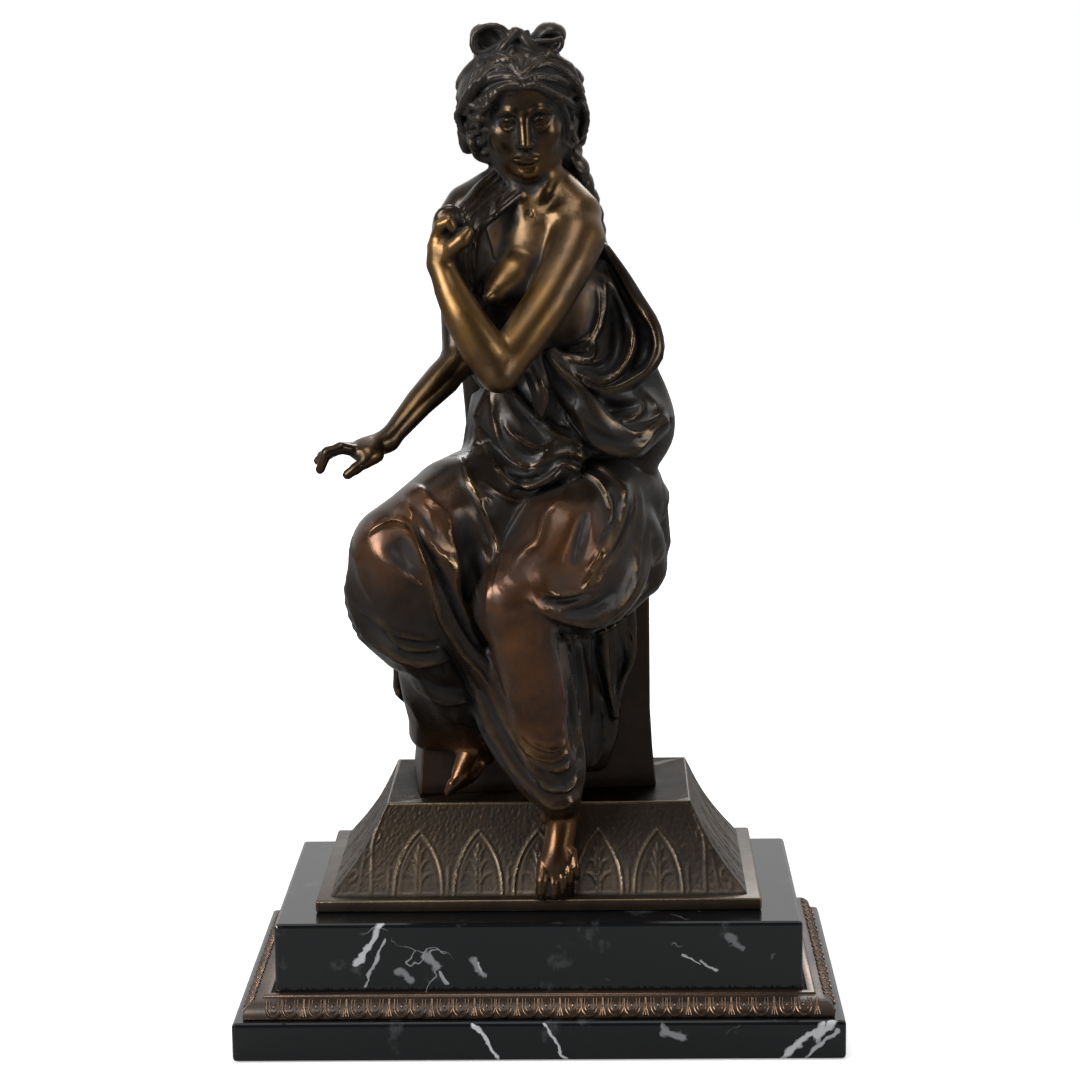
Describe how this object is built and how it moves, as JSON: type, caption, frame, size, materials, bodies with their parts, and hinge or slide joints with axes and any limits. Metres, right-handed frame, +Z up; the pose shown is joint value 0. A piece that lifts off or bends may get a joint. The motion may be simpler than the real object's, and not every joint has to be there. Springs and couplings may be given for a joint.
{
  "type": "bronze nymph statue",
  "caption": "Bronze statue of a draped seated nymph on a pillar, on a leaf-banded bronze base and a stepped black marble plinth.",
  "frame": {"origin": "bottom centre of the lower marble slab", "axes": "+Z up, +X to the viewer's right, the front faces -Y"},
  "size_m": [0.33, 0.2, 0.5546],
  "materials": {
    "figure_bronze": "patinated cast bronze, worn golden on the ridges",
    "base_bronze": "dark brown patinated cast bronze",
    "black_marble": "polished, with white veins"
  },
  "bodies": {
    "root": {"marble_slab": "black_marble", "bronze_border": "base_bronze", "marble_block": "black_marble", "bronze_pedestal": "base_bronze", "nymph_figure": "figure_bronze"}
  },
  "joints": []
}
